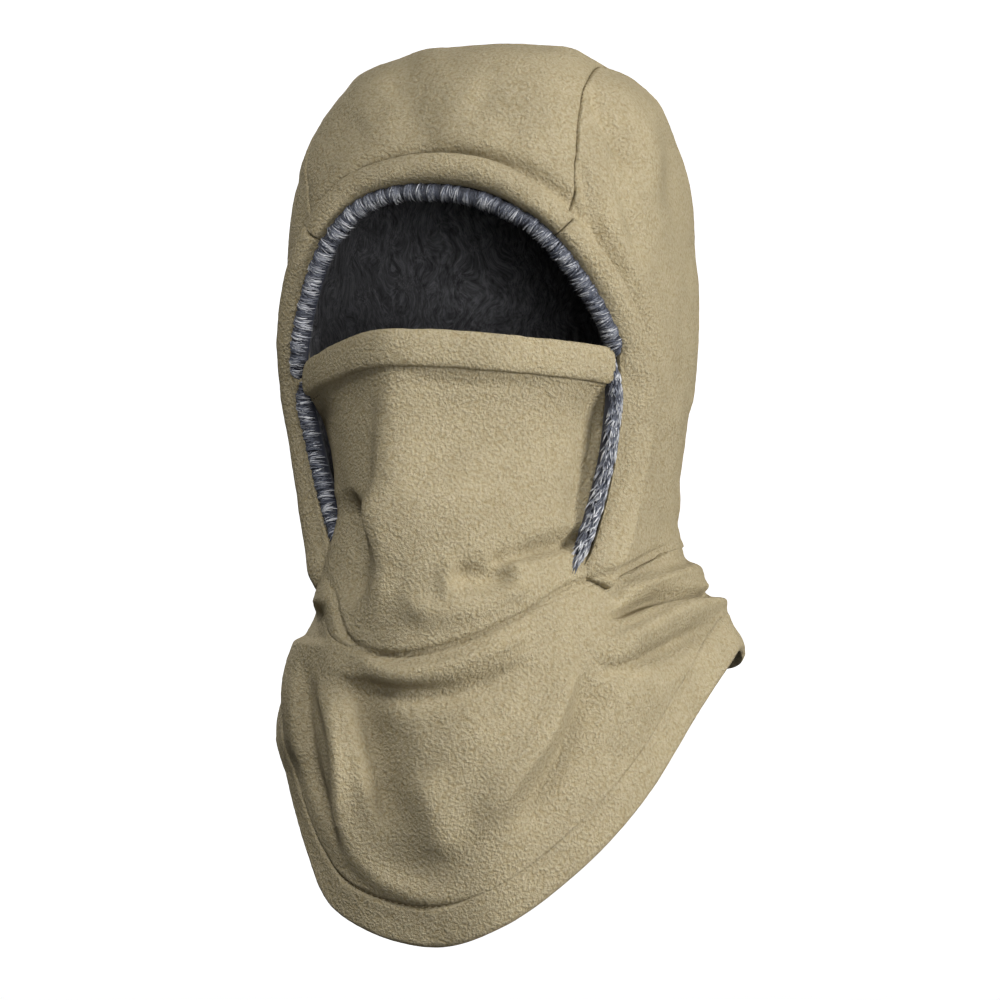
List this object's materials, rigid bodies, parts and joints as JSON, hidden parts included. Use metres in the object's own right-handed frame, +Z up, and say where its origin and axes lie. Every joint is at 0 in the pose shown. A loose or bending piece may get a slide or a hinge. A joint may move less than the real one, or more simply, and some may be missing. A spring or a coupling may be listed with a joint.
{
  "type": "balaclava",
  "caption": "Two-layer fleece balaclava hood with a pull-down face mask, a plush edge round the face and a hemmed shoulder bib.",
  "frame": {"origin": "the point where the top of the head meets the crown's lining", "axes": "+Z up, the face looks along -Y, the wearer's left is +X"},
  "size_m": [0.2245, 0.2462, 0.4248],
  "materials": {
    "fleece": "brushed micro-fleece, matte",
    "lining": "short dark plush, matte",
    "plush_edge": "grey long-pile plush with white tips",
    "thread": "spun polyester sewing thread",
    "elastic": "woven elastic tape",
    "label": "blank satin label"
  },
  "bodies": {
    "root": {"crown_center_panel": "fleece", "side_panel_left": "fleece", "side_panel_right": "fleece", "brow_binding": "fleece", "cheek_binding_left": "fleece", "cheek_binding_right": "fleece", "mask_face_panel": "fleece", "bib_panel": "fleece", "bib_hem": "fleece", "crown_lining": "lining", "side_lining_left": "lining", "side_lining_right": "lining", "bib_lining": "lining", "mask_lining": "lining", "fur_trim_brow": "plush_edge", "fur_trim_left": "plush_edge", "fur_trim_right": "plush_edge", "crown_seam_left": "thread", "crown_seam_right": "thread", "neck_seam": "thread", "bib_hem_stitching": "thread", "care_label": "label"},
    "mask": {"mask_top_hem": "fleece", "mask_hem_elastic": "elastic", "mask_hem_stitching": "thread"}
  },
  "joints": [
    {"name": "mask_drop", "type": "slide", "parent": "root", "child": "mask", "axis": [0, -0.2873, -0.9578], "range_m": [0, 0.08], "deforming": ["mask_face_panel", "mask_lining"]}
  ]
}
